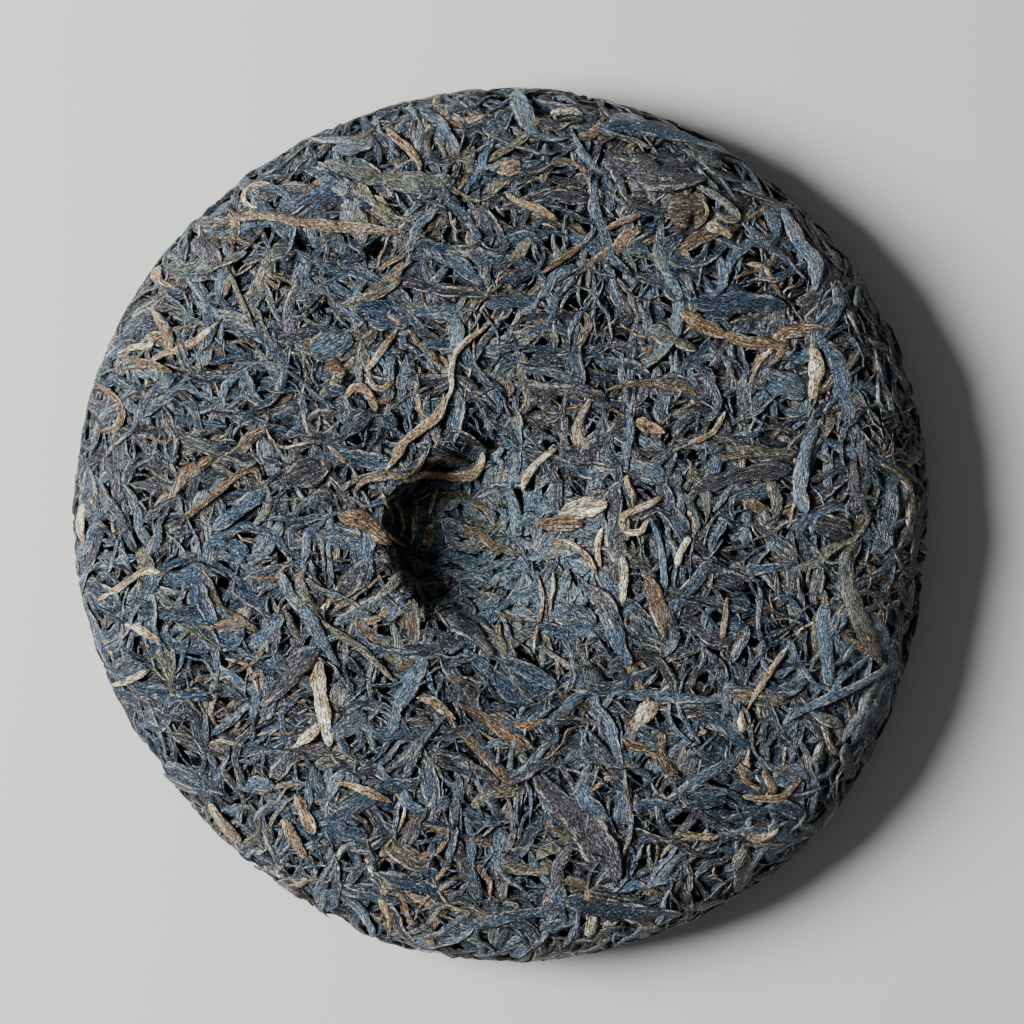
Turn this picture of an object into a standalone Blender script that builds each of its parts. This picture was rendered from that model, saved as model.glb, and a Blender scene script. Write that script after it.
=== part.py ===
"""A round cake of pressed, sun-dried tea leaf, lying on its domed face with the hollowed face up.

The core is a turned body. Its outline is a little out of round, and the knot of the cloth bag that it
was pressed in has left a hollow in the upper face, steep on one side and shallow on the other. The
largest leaves and stalks of the surface are fused on as low strips, at their true size.
Metres in Blender, millimetres in the named sizes; +Z up; the origin is under the middle of the cake.
"""

import math
import random

import bmesh
import bpy
from mathutils import Matrix, Vector, noise
from mathutils.bvhtree import BVHTree

MM = 0.001

# The cake, in millimetres
CORE_RADIUS = 98.6
CORE_HEIGHT = 24.2
WIDEST_HEIGHT = 10.0  # of the rim's widest line, over the table
FLAT_SPOT = 0.46  # radius of the flat the cake rests on, as a share of the core's radius
DOME_POWER = 2.2  # how soon the underside rises past the flat
SHOULDER_POWER = 7.5  # how far out the upper face stays level
SHOULDER_ROUNDING = 2.2
OVAL, OVAL_ANGLE = 1.0, math.radians(108)  # the outline is longest along this angle
TRIANGLE, TRIANGLE_ANGLE = 0.9, math.radians(48)  # and bulges a little three times round

# The hollow that the knot left
HOLLOW_DEPTH = 12.0
HOLLOW_CENTRE = Vector((0.5, -4.0))
HOLLOW_HALF_SIZE = Vector((31.0, 27.0))
HOLLOW_LOWEST = Vector((-11.0, -5.0))
STEEP_SIDE = math.radians(158)
STEEP_START, START_SWING = 0.31, 0.29  # where its wall begins to rise: mean, and change with the side
PLEATS, PLEAT_DEPTH, PLEAT_REACH = 11, 0.5, 17.0  # folds of the cloth, round its knot
PLEAT_FREE = 5.0  # radius round the knot within which the folds fade out
KNOT = Vector((2.5, -11.0))

# How finely the core is cut
TURN_STEPS = 54
HOLLOW_RINGS, FACE_RINGS, SHOULDER_RINGS, LOWER_RINGS = 8, 5, 5, 6
HOLLOW_SHARE, SHOULDER_SHARE = 0.36, 0.84
BUMP_SIZE, BUMP_HEIGHT = 8.0, 0.9
SMOOTH_BASE = 1.1  # the base has no bumps out to this many times the flat spot's radius
MERGE_DISTANCE = 0.01

# The leaf strips: length, half-width and thickness in millimetres
STATIONS = 5
ROLLED_LEAF = ((17.0, 30.0), (1.7, 2.6), 1.2)
BROAD_LEAF = ((16.0, 24.0), (3.0, 4.4), 0.85)
MOST_BEND = 1.3  # radians a scattered leaf turns over its length
MOST_RIM_SLANT = 0.45  # radians between a rim leaf and the rim
EDGE_LIFT = 0.25  # of a leaf's thin edges above the surface
KEEL_SHARE = 0.7  # depth of a leaf's sunken keel, as a share of its crest's height
TAPER_POWER = 0.6
WAVES = 1.5  # up and down along a leaf
CREST_SWAY, SWAY_RATE = 0.25, 5.0  # the crest wanders across the leaf
SHOWN_BLUNT, SCATTERED_BLUNT = 0.55, 0.4  # width of a leaf's ends, as a share of its middle
SHOWN_WAVE, SCATTERED_WAVE = 0.1, 0.15
BROAD_EVERY = 4  # one strip in so many is a broad leaf
UPPER_LEAVES, LOWER_LEAVES, RIM_LEAVES = 44, 13, 18
UPPER_REACH = 0.97  # outermost scattered leaf of the upper face, as a share of the radius
LOWER_INNER, LOWER_OUTER = 0.34, 0.9  # the same for the base's, as squared shares
RIM_ABOVE, RIM_BELOW = 3.5, 1.5  # rim leaves start this far over and under the widest line
RIM_SHIFT = 0.2  # of a rim leaf along the rim, as a share of their spacing
FLAT_MARGIN, FLAT_LEVEL = 1.15, 0.5  # no leaf crosses the flat spot, widened by this and this low
PRESSED_LEVEL = 0.04  # height over the table that no leaf of the underside comes below
LEAF_CLEARANCE = 7.0  # from a shown leaf's middle to the middle of a scattered one
GOLDEN_ANGLE = math.pi * (3 - math.sqrt(5))
SEED = 20

# The leaves that stand out on the upper face. Each has its half-width, its thickness and the places its
# middle line passes, in pixels of the picture they were measured in.
PIXEL = 0.23
MIDDLE_PIXEL = Vector((505.0, 523.0))
SHOWN_LEAVES = {
    "pale_stalk_by_hollow": (1.2, 1.5, [(486, 328), (455, 353), (447, 398), (417, 431), (360, 484)]),
    "bent_twig_in_hollow": (1.5, 1.8, [(355, 492), (398, 476), (459, 473), (481, 455), (483, 436)]),
    "long_brown_stick": (1.6, 1.3, [(239, 216), (283, 221), (347, 229), (406, 228)]),
    "orange_leaf": (1.7, 1.3, [(681, 315), (725, 334), (757, 341), (788, 349)]),
    "pale_upright_leaf": (1.5, 1.2, [(812, 348), (816, 366), (813, 399)]),
    "olive_strip_at_right": (2.3, 1.1, [(847, 570), (856, 601), (869, 633), (879, 666)]),
    "blue_stalk_at_right": (1.1, 1.2, [(789, 718), (812, 700), (847, 684), (891, 668)]),
    "dark_flake_below": (4.6, 0.9, [(534, 776), (563, 796), (588, 818), (612, 856)]),
    "dark_leaf_at_foot": (2.6, 1.0, [(556, 907), (608, 917), (659, 921), (697, 916)]),
    "grey_leaf_above": (2.5, 1.1, [(321, 162), (347, 165), (379, 170), (411, 174)]),
    "purple_leaf": (1.9, 1.1, [(697, 490), (729, 478), (761, 473), (789, 470)]),
    "grey_leaf_at_left": (1.9, 1.2, [(280, 585), (299, 604), (316, 632), (341, 665)]),
    "star_leaf": (1.4, 1.4, [(321, 660), (315, 684), (324, 710), (332, 745)]),
    "golden_hook_at_left": (1.0, 1.4, [(94, 382), (112, 396), (119, 423), (95, 431)]),
    "golden_stalk_above": (1.1, 1.4, [(388, 135), (404, 141), (411, 152), (420, 165)]),
    "grey_leaf_upper_right": (1.9, 1.1, [(783, 210), (796, 232), (808, 258), (815, 283)]),
    "brown_stick_upper_right": (1.0, 1.2, [(544, 269), (572, 251), (608, 226), (642, 213)]),
    "tan_stalk_lower_right": (1.0, 1.3, [(746, 710), (757, 690), (773, 674), (785, 652)]),
    "pale_leaf_in_hollow": (2.1, 0.8, [(564, 507), (585, 502), (606, 499)]),
    "curved_stalk_in_hollow": (1.1, 1.2, [(521, 497), (528, 478), (541, 459), (557, 451)]),
}


def clear_scene():
    for old in list(bpy.data.objects):
        bpy.data.objects.remove(old)


def outline_radius(angle):
    """The core's radius at its widest line, in this direction."""
    oval = OVAL * math.cos(2 * (angle - OVAL_ANGLE))
    triangle = TRIANGLE * math.cos(3 * (angle - TRIANGLE_ANGLE))
    return CORE_RADIUS + oval + triangle


def upper_height(share):
    """Height of the upper face, before its hollow, at this share of the radius."""
    shoulder = (1 - share**SHOULDER_POWER) ** (1 / SHOULDER_ROUNDING)
    return WIDEST_HEIGHT + (CORE_HEIGHT - WIDEST_HEIGHT) * shoulder


def lower_height(share):
    """Height of the domed underside: level out to the flat spot's edge, then rising to the rim."""
    past_flat = max(0.0, (share - FLAT_SPOT) / (1 - FLAT_SPOT))
    return WIDEST_HEIGHT * (1 - math.sqrt(1 - past_flat**DOME_POWER))


def hollow_edge(direction):
    """How far the hollow's edge lies from its lowest point, in this direction."""
    way = Vector((math.cos(direction), math.sin(direction)))
    off = HOLLOW_LOWEST - HOLLOW_CENTRE
    a = sum((way[i] / HOLLOW_HALF_SIZE[i]) ** 2 for i in range(2))
    b = 2 * sum(off[i] * way[i] / HOLLOW_HALF_SIZE[i] ** 2 for i in range(2))
    c = sum((off[i] / HOLLOW_HALF_SIZE[i]) ** 2 for i in range(2)) - 1
    return (-b + math.sqrt(b * b - 4 * a * c)) / (2 * a)


def hollow_depth(x, y):
    """How far the knot pressed the upper face down at this place."""
    from_lowest = Vector((x, y)) - HOLLOW_LOWEST
    direction = math.atan2(from_lowest.y, from_lowest.x)
    out = from_lowest.length / hollow_edge(direction)
    if out >= 1:
        return 0.0
    start = STEEP_START + START_SWING * math.cos(direction - STEEP_SIDE)
    rise = max(0.0, (out - start) / (1 - start))
    wall = rise * rise * (3 - 2 * rise)
    from_knot = Vector((x, y)) - KNOT
    fold = math.cos(PLEATS * math.atan2(from_knot.y, from_knot.x))
    reach = max(0.0, 1 - from_knot.length / PLEAT_REACH)
    near = min(1.0, from_knot.length / PLEAT_FREE)
    return HOLLOW_DEPTH * (1 - wall) + PLEAT_DEPTH * fold * reach * near


def core_profile():
    """The turned profile at +X, from the top's middle out over the rim and in to the base's middle."""
    upper = [HOLLOW_SHARE * i / HOLLOW_RINGS for i in range(HOLLOW_RINGS)]
    face = SHOULDER_SHARE - HOLLOW_SHARE
    upper += [HOLLOW_SHARE + face * i / FACE_RINGS for i in range(FACE_RINGS)]
    around = [math.sin(math.pi / 2 * i / SHOULDER_RINGS) for i in range(SHOULDER_RINGS + 1)]
    upper += [SHOULDER_SHARE + (1 - SHOULDER_SHARE) * turn for turn in around]
    points = [(share, upper_height(min(share, 1.0))) for share in upper]
    for i in range(1, LOWER_RINGS + 1):
        share = 1 - (1 - FLAT_SPOT) * (1 - math.cos(math.pi / 2 * i / LOWER_RINGS))
        points.append((share, lower_height(share)))
    points.append((FLAT_SPOT / 2, 0.0))
    points.append((0.0, 0.0))
    return [(CORE_RADIUS * share * MM, 0.0, height * MM) for share, height in points]


def turned_core():
    """The core, turned from its profile."""
    points = core_profile()
    mesh = bpy.data.meshes.new("core_profile")
    mesh.from_pydata(points, [(i, i + 1) for i in range(len(points) - 1)], [])
    profile = bpy.data.objects.new("core_profile", mesh)
    bpy.context.scene.collection.objects.link(profile)
    screw = profile.modifiers.new("turn", "SCREW")
    screw.steps = screw.render_steps = TURN_STEPS
    screw.use_merge_vertices = True
    screw.merge_threshold = MERGE_DISTANCE * MM
    bpy.context.view_layer.update()
    graph = bpy.context.evaluated_depsgraph_get()
    turned = bpy.data.meshes.new_from_object(profile.evaluated_get(graph))
    bpy.data.objects.remove(profile)
    return turned


def press(mesh):
    """Gives the turned core its outline, its hollow and the bumps of the leaf beneath the surface."""
    for vertex in mesh.vertices:
        x, y, z = vertex.co / MM
        stretch = outline_radius(math.atan2(y, x)) / CORE_RADIUS
        x, y = x * stretch, y * stretch
        share = math.hypot(x, y) / CORE_RADIUS
        if z > WIDEST_HEIGHT:
            z -= hollow_depth(x, y)
        if share > FLAT_SPOT * SMOOTH_BASE or z > WIDEST_HEIGHT / 2:
            bump = noise.noise(Vector((x, y, z)) / BUMP_SIZE) * BUMP_HEIGHT
            z += bump if z > WIDEST_HEIGHT else abs(bump)
        vertex.co = Vector((x, y, z)) * MM


def smooth_line(points, count):
    """Evenly stepped places on a smooth curve through these points."""
    ends = [2 * points[0] - points[1], *points, 2 * points[-1] - points[-2]]
    places = []
    for k in range(count):
        at = k / (count - 1) * (len(points) - 1)
        i = min(int(at), len(points) - 2)
        t = at - i
        a, b, c, d = ends[i : i + 4]
        places.append(0.5 * (2 * b + (c - a) * t + (2 * a - 5 * b + 4 * c - d) * t**2
                             + (3 * b - a - 3 * c + d) * t**3))
    return places


def line_from_picture(surface, pixels):
    """A shown leaf's middle line and the face's normals along it."""
    flat = [Vector(((px - MIDDLE_PIXEL.x) * PIXEL, (MIDDLE_PIXEL.y - py) * PIXEL)) for px, py in pixels]
    line = []
    for place in smooth_line(flat, STATIONS + 1):
        over = Vector((place.x, place.y, 2 * CORE_HEIGHT)) * MM
        spot, normal, _, _ = surface.ray_cast(over, Vector((0, 0, -1)))
        if spot is None:
            spot, normal, _, _ = surface.find_nearest(Vector((place.x, place.y, WIDEST_HEIGHT)) * MM)
        line.append((spot, normal))
    return line


def line_over_surface(surface, start, heading, length, bend):
    """A scattered leaf's middle line: it runs over the surface from start, turning as it goes."""
    spot, normal, _, _ = surface.find_nearest(start * MM)
    around = normal.cross(Vector((0, 0, 1)))
    if around.length < 0.1:
        around = Vector((1, 0, 0))
    around.normalize()
    way = around * math.cos(heading) + normal.cross(around) * math.sin(heading)
    line = [(spot, normal)]
    for _ in range(STATIONS - 1):
        spot, normal, _, _ = surface.find_nearest(spot + way * length / (STATIONS - 1) * MM)
        turn = normal.cross(way) * math.sin(bend / STATIONS)
        way = way - normal * normal.dot(way) + turn
        way.normalize()
        line.append((spot, normal))
    return line


def leaf_strip(name, line, half_width, thickness, blunt, wave):
    """A closed strip along a middle line, with a crest above, a keel below and both edges thin."""
    bm = bmesh.new()
    rings = []
    last = len(line) - 1
    for k, (spot, normal) in enumerate(line):
        ahead = line[min(k + 1, last)][0] - line[max(k - 1, 0)][0]
        side = ahead.cross(normal).normalized()
        share = k / last
        taper = max(blunt, math.sin(math.pi * share) ** TAPER_POWER)
        width = half_width * taper * MM
        lift = (EDGE_LIFT + wave * math.sin(2 * math.pi * share * WAVES + half_width)) * MM
        centre = spot + normal * lift
        crest = normal * thickness * max(blunt, taper) * MM
        shift = side * width * CREST_SWAY * math.sin(SWAY_RATE * share + half_width)
        keel = centre - crest * KEEL_SHARE
        corners = (centre - side * width, centre + crest + shift, centre + side * width, keel)
        for corner in corners:
            corner.z = max(corner.z, PRESSED_LEVEL * MM)
        rings.append([bm.verts.new(corner) for corner in corners])
    for before, after in zip(rings, rings[1:]):
        for i in range(4):
            j = (i + 1) % 4
            bm.faces.new((before[i], before[j], after[j], after[i]))
    bm.faces.new(reversed(rings[0]))
    bm.faces.new(rings[-1])
    bmesh.ops.triangulate(bm, faces=bm.faces[:])
    bmesh.ops.recalc_face_normals(bm, faces=bm.faces[:])
    mesh = bpy.data.meshes.new(name)
    bm.to_mesh(mesh)
    bm.free()
    return bpy.data.objects.new(name, mesh)


def shown_leaves(surface):
    strips = []
    for name, (half_width, thickness, pixels) in SHOWN_LEAVES.items():
        line = line_from_picture(surface, pixels)
        strips.append(leaf_strip(name, line, half_width, thickness, SHOWN_BLUNT, SHOWN_WAVE))
    return strips


def starts(draw):
    """Places for the scattered leaves: sunflower spirals on both faces, then evenly round the rim."""
    places = []
    for i in range(UPPER_LEAVES):
        reach = CORE_RADIUS * math.sqrt((i + 0.5) / UPPER_LEAVES) * UPPER_REACH
        angle = i * GOLDEN_ANGLE
        places.append(Vector((reach * math.cos(angle), reach * math.sin(angle), CORE_HEIGHT)))
    for i in range(LOWER_LEAVES):
        share = math.sqrt(LOWER_INNER + (LOWER_OUTER - LOWER_INNER) * (i + 0.5) / LOWER_LEAVES)
        angle = i * GOLDEN_ANGLE
        places.append(Vector((share * math.cos(angle), share * math.sin(angle), 0)) * CORE_RADIUS)
    for i in range(RIM_LEAVES):
        angle = 2 * math.pi * (i + draw.uniform(-RIM_SHIFT, RIM_SHIFT)) / RIM_LEAVES
        height = WIDEST_HEIGHT + (RIM_ABOVE if i % 2 else -RIM_BELOW)
        radius = outline_radius(angle)
        places.append(Vector((radius * math.cos(angle), radius * math.sin(angle), height)))
    return places


def scattered_leaves(surface, shown):
    """Strips of drawn length, width and curl, clear of the middles of the shown leaves and of the flat."""
    draw = random.Random(SEED)
    taken = []
    for strip in shown:
        corners = strip.data.vertices
        taken.append(sum((corner.co for corner in corners), Vector()) / len(corners))
    strips = []
    for i, start in enumerate(starts(draw)):
        lengths, half_widths, thickness = BROAD_LEAF if i % BROAD_EVERY == 0 else ROLLED_LEAF
        length = draw.uniform(*lengths)
        half_width = draw.uniform(*half_widths)
        heading = draw.uniform(0, 2 * math.pi)
        bend = draw.uniform(-MOST_BEND, MOST_BEND)
        if i >= UPPER_LEAVES + LOWER_LEAVES:
            heading = draw.uniform(-MOST_RIM_SLANT, MOST_RIM_SLANT)
        line = line_over_surface(surface, start, heading, length, bend)
        middle = line[len(line) // 2][0]
        flat = CORE_RADIUS * FLAT_SPOT * FLAT_MARGIN * MM
        on_flat = any(spot.z < FLAT_LEVEL * MM and math.hypot(spot.x, spot.y) < flat for spot, _ in line)
        if on_flat or any((middle - other).length < LEAF_CLEARANCE * MM for other in taken):
            continue
        shape = half_width, thickness, SCATTERED_BLUNT, SCATTERED_WAVE
        strips.append(leaf_strip(f"leaf_{i:03d}", line, *shape))
    return strips


def leaf_material():
    """Dark slate leaf with a dull sheen."""
    material = bpy.data.materials.new("pressed_leaf")
    material.use_nodes = True
    surface = material.node_tree.nodes["Principled BSDF"]
    surface.inputs["Base Color"].default_value = (0.075, 0.085, 0.095, 1)
    surface.inputs["Roughness"].default_value = 0.6
    surface.inputs["Metallic"].default_value = 0.0
    return material


def fuse(core, strips):
    """One union of the core with all the strips, applied; the strips are then removed."""
    leaves = bpy.data.collections.new("leaf_strips")
    bpy.context.scene.collection.children.link(leaves)
    for strip in strips:
        leaves.objects.link(strip)
    union = core.modifiers.new("fuse", "BOOLEAN")
    union.operation = "UNION"
    union.operand_type = "COLLECTION"
    union.collection = leaves
    union.solver = "EXACT"
    bpy.context.view_layer.update()
    graph = bpy.context.evaluated_depsgraph_get()
    core.data = bpy.data.meshes.new_from_object(core.evaluated_get(graph))
    core.modifiers.clear()
    for strip in strips:
        bpy.data.objects.remove(strip)
    bpy.data.collections.remove(leaves)


def keep_outer_shell(mesh):
    """Drops loose scraps and fills the small hollows that fusing has sealed between strip and core."""
    bm = bmesh.new()
    bm.from_mesh(mesh)
    unseen = set(bm.verts)
    shells = []
    while unseen:
        shell, front = set(), [unseen.pop()]
        while front:
            vertex = front.pop()
            shell.add(vertex)
            for edge in vertex.link_edges:
                other = edge.other_vert(vertex)
                if other in unseen:
                    unseen.remove(other)
                    front.append(other)
        shells.append(shell)
    outer = max(shells, key=len)
    bmesh.ops.delete(bm, geom=[v for v in bm.verts if v not in outer], context="VERTS")
    bm.to_mesh(mesh)
    bm.free()


def stand_on_origin(mesh):
    """Moves the cake so that the middle of its bounding box's base is the origin."""
    low = Vector([min(v.co[i] for v in mesh.vertices) for i in range(3)])
    high = Vector([max(v.co[i] for v in mesh.vertices) for i in range(3)])
    mesh.transform(Matrix.Translation(-Vector(((low.x + high.x) / 2, (low.y + high.y) / 2, low.z))))


def build_cake():
    clear_scene()
    mesh = turned_core()
    press(mesh)
    cake = bpy.data.objects.new("tea_cake", mesh)
    parts = bpy.data.collections.new("pressed_tea_cake")
    bpy.context.scene.collection.children.link(parts)
    parts.objects.link(cake)
    bpy.context.view_layer.update()
    surface = BVHTree.FromObject(cake, bpy.context.evaluated_depsgraph_get())
    shown = shown_leaves(surface)
    fuse(cake, shown + scattered_leaves(surface, shown))
    keep_outer_shell(cake.data)
    stand_on_origin(cake.data)
    cake.data.materials.clear()
    cake.data.materials.append(leaf_material())


build_cake()
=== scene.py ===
import math

import bpy
import numpy as np
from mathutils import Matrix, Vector


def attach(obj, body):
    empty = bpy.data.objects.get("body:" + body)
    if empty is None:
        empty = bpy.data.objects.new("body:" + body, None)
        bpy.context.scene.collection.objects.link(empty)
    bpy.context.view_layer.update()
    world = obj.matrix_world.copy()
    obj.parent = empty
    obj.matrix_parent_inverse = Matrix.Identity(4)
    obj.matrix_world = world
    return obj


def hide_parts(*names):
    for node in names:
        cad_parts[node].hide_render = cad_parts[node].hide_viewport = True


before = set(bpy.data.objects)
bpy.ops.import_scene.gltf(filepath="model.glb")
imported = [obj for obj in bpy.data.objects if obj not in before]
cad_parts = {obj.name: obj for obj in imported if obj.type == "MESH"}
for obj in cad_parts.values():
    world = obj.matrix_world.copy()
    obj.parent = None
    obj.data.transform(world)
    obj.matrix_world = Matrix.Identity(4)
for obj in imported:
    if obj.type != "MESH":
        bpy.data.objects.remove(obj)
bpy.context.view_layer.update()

# The pressed body
# Steamed leaf is pressed in a cloth bag under a stone, so the cake is a round loaf with a flat middle
# beneath, a level upper face, and the hollow of the bag's knot in it. This is its mass of small dark leaf,
# which shows only deep between the leaves of the surface.

MM = 0.001  # sizes are given in millimetres and built in metres
# The outline's mean radius, the height of the level face, and the height of the widest line
RADIUS, HEIGHT, WIDEST = 98.6, 24.2, 10.0
MIDDLE = Vector((0.41, 1.11))  # of the turned form, from the origin
# Share of the radius that is flat beneath, and how full the dome round it and the shoulder above are
FLAT_SPOT, DOME_POWER = 0.46, 2.2
SHOULDER_POWER, SHOULDER_ROUNDING = 7.5, 2.2
# How the outline leaves a circle: waves round it, height in millimetres and turn in degrees
OUTLINE = ((2, 1.2, 217), (3, 1.0, 146), (5, 0.35, 149), (6, 0.4, 110))
# The hollow's edge is a wavy oval, given by its middle and half-lengths; its lowest place is off the middle
HOLLOW_DEPTH = 12.0
HOLLOW_CENTRE, HOLLOW_HALF, LOWEST = (2.0, -4.0), (29.0, 27.0), (-9.0, -4.5)
EDGE_WAVES = ((2, 0.075, -5.24), (5, 0.035, -0.52), (9, 0.03, 0.5))  # count, size and turn round the hollow
# The wall starts at this share of the way out, later on its steep side and earlier on the other
WALL_START, START_SWING = 0.42, 0.30
STEEP_SIDE, SIDE_SHARPNESS = math.radians(175), 2.2
# The bag's pleats run out from the knot, bending a little, and leave a plain spot at its middle
KNOT, PLEATS, PLEAT_DEPTH, PLEAT_REACH = (2.5, -2.0), 13, 0.55, 22.0
PLEAT_BEND, PLAIN_SPOT = 0.15, 6
# Points of the body's grid round it, from the middle to the rim above, and from the rim back beneath
GRID_ROUND, GRID_UP, GRID_DOWN = 260, 110, 60
RING_EASE = 0.8  # below 1, the rings above lie closer towards the rim


def outline(angle):
    waves = sum(size * np.cos(count * angle - math.radians(turn)) for count, size, turn in OUTLINE)
    return RADIUS + waves


def hollow(x, y):
    """Depth of the knot's hollow."""
    dx, dy = x - LOWEST[0], y - LOWEST[1]
    way = np.arctan2(dy, dx)
    # How far the oval lies from the lowest place on this way is the root of a quadratic
    off = LOWEST[0] - HOLLOW_CENTRE[0], LOWEST[1] - HOLLOW_CENTRE[1]
    a = (np.cos(way) / HOLLOW_HALF[0]) ** 2 + (np.sin(way) / HOLLOW_HALF[1]) ** 2
    b = 2 * (off[0] * np.cos(way) / HOLLOW_HALF[0] ** 2 + off[1] * np.sin(way) / HOLLOW_HALF[1] ** 2)
    c = (off[0] / HOLLOW_HALF[0]) ** 2 + (off[1] / HOLLOW_HALF[1]) ** 2 - 1
    edge = (-b + np.sqrt(b * b - 4 * a * c)) / (2 * a)
    edge *= 1 + sum(size * np.cos(count * way + turn) for count, size, turn in EDGE_WAVES)
    out = np.clip(np.hypot(dx, dy) / edge, 0, 1)
    start = WALL_START + START_SWING * np.tanh(SIDE_SHARPNESS * np.cos(way - STEEP_SIDE))
    rise = np.clip((out - start) / (1 - start), 0, 1)
    knot_x, knot_y = x - KNOT[0], y - KNOT[1]
    far = np.hypot(knot_x, knot_y)
    fold = np.cos(PLEATS * np.arctan2(knot_y, knot_x) + PLEAT_BEND * far)
    fold *= np.clip(1 - far / PLEAT_REACH, 0, 1) * np.clip(far / PLAIN_SPOT, 0, 1)
    return HOLLOW_DEPTH * (1 - rise * rise * (3 - 2 * rise)) + PLEAT_DEPTH * fold


def ripple(x, y, z, size, seed):
    """Smooth unevenness, mostly between -1 and 1, of about this size in millimetres."""
    draw = np.random.default_rng(seed)
    waves, usual_most = 14, 5
    total = np.zeros_like(x)
    for _ in range(waves):
        way = draw.normal(size=3)
        way *= draw.uniform(0.6, 1.5) * 2 * math.pi / size / np.linalg.norm(way)
        total += np.sin(x * way[0] + y * way[1] + z * way[2] + draw.uniform(0, 2 * math.pi))
    return total / usual_most


def body_grid():
    """Places over the whole body: from the upper middle, over the rim, to the middle of the base."""
    upper = np.sin(np.linspace(0, 1, GRID_UP) ** RING_EASE * math.pi / 2)
    lower = np.cos(np.linspace(0, 1, GRID_DOWN + 1)[1:] * math.pi / 2)
    angle = np.linspace(0, 2 * math.pi, GRID_ROUND, endpoint=False)
    top = WIDEST + (HEIGHT - WIDEST) * (1 - upper**SHOULDER_POWER) ** (1 / SHOULDER_ROUNDING)
    past = np.clip((lower - FLAT_SPOT) / (1 - FLAT_SPOT), 0, 1)
    under = WIDEST * (1 - np.sqrt(1 - past**DOME_POWER))
    share = np.concatenate([upper[1:], lower[:-1]])
    height = np.concatenate([top[1:], under[:-1]])
    is_upper = np.concatenate([np.ones(GRID_UP - 1), np.zeros(GRID_DOWN - 1)])
    r, t = np.meshgrid(share, angle, indexing="ij")
    z = np.repeat(height[:, None], GRID_ROUND, 1)
    up = np.repeat(is_upper[:, None], GRID_ROUND, 1)
    x, y = r * outline(t) * np.cos(t), r * outline(t) * np.sin(t)
    z = z - up * hollow(x, y)
    return x, y, z, r, up


def body_mesh(name, x, y, z, inner_top, inner_base):
    """A closed mesh through the grid, with a point at the middle of each face."""
    rings, steps = x.shape
    places = np.stack([x, y, z], -1).reshape(-1, 3)
    places = np.concatenate([places, [inner_top, inner_base]]) * MM
    places[:, 0] += MIDDLE.x * MM
    places[:, 1] += MIDDLE.y * MM
    top, base = rings * steps, rings * steps + 1
    faces = []
    for i in range(rings - 1):
        for j in range(steps):
            k = (j + 1) % steps
            faces.append((i * steps + j, (i + 1) * steps + j, (i + 1) * steps + k, i * steps + k))
    for j in range(steps):
        k = (j + 1) % steps
        faces.append((top, j, k))
        faces.append((base, (rings - 1) * steps + k, (rings - 1) * steps + j))
    mesh = bpy.data.meshes.new(name)
    mesh.from_pydata(places.tolist(), [], faces)
    mesh.shade_smooth()
    return mesh


def add_piece(name, mesh, material):
    """Puts a finished piece in the scene in place of the CAD cake."""
    piece = bpy.data.objects.new(name, mesh)
    bpy.context.scene.collection.objects.link(piece)
    mesh.materials.clear()
    mesh.materials.append(material)
    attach(piece, "root")
    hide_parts("tea_cake")


def give(mesh, name, values, kind="FLOAT"):
    """Stores one value, or one vector, for each point of the mesh."""
    made = mesh.attributes.new(name, kind, "POINT")
    field = "vector" if kind == "FLOAT_VECTOR" else "value"
    made.data.foreach_set(field, np.asarray(values, np.float32).ravel())


def add_node(tree, kind, inputs=(), **settings):
    """A node with its settings, and its inputs linked to sockets or set to values."""
    made = tree.nodes.new(kind)
    for key, value in settings.items():
        setattr(made, key, value)
    for key, value in dict(inputs).items():
        shown = [socket for socket in made.inputs if socket.enabled]
        if isinstance(key, str):
            socket = next(socket for socket in shown if socket.name == key)
        else:
            socket = shown[key]
        if isinstance(value, bpy.types.NodeSocket):
            tree.links.new(value, socket)
        else:
            socket.default_value = value
    return made


def out(made, name=None):
    return next(s for s in made.outputs if s.enabled and (name is None or s.name == name))


def calc(tree, operation, *values):
    return out(add_node(tree, "ShaderNodeMath", dict(enumerate(values)), operation=operation))


def times(tree, first, second):
    return calc(tree, "MULTIPLY", first, second)


def plus(tree, first, second):
    return calc(tree, "ADD", first, second)


def less(tree, first, second):
    return calc(tree, "SUBTRACT", first, second)


def vector(tree, operation, *values):
    return out(add_node(tree, "ShaderNodeVectorMath", dict(enumerate(values)), operation=operation))


def scaled(tree, direction, amount):
    return out(add_node(tree, "ShaderNodeVectorMath", {"Vector": direction, "Scale": amount},
                        operation="SCALE"))


# The leaf's shades by tint: purple-brown, near black, deep blue, slate, grey, olive, brown, tan, cream
LEAF_SHADES = (
    (0.0, (0.034, 0.033, 0.042)), (0.09, (0.035, 0.027, 0.029)), (0.14, (0.011, 0.014, 0.020)),
    (0.30, (0.012, 0.024, 0.043)), (0.55, (0.025, 0.046, 0.076)), (0.68, (0.057, 0.088, 0.123)),
    (0.77, (0.078, 0.090, 0.090)), (0.84, (0.081, 0.073, 0.041)), (0.89, (0.098, 0.053, 0.030)),
    (0.93, (0.158, 0.104, 0.055)), (0.96, (0.208, 0.118, 0.055)), (0.98, (0.290, 0.212, 0.114)),
    (1.0, (0.500, 0.440, 0.315)),
)
WORN_AND_HIGHLIGHT_SHADE = (0.336, 0.302, 0.246)
WORN_MOST, SIDE_MOST, FLECK_MOST = 0.6, 0.68, 0.5  # how much of it worn streaks, the sides' worn edge and painted highlight line, and flecks take
STREAKS = 1.6  # noise of the fine streaks to a millimetre across the leaf
ROUGHNESS, ROUGHNESS_SWING, SHEEN = 0.34, 0.12, 0.5
RELIEF = 0.5  # height of the wrinkles, in millimetres


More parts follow.
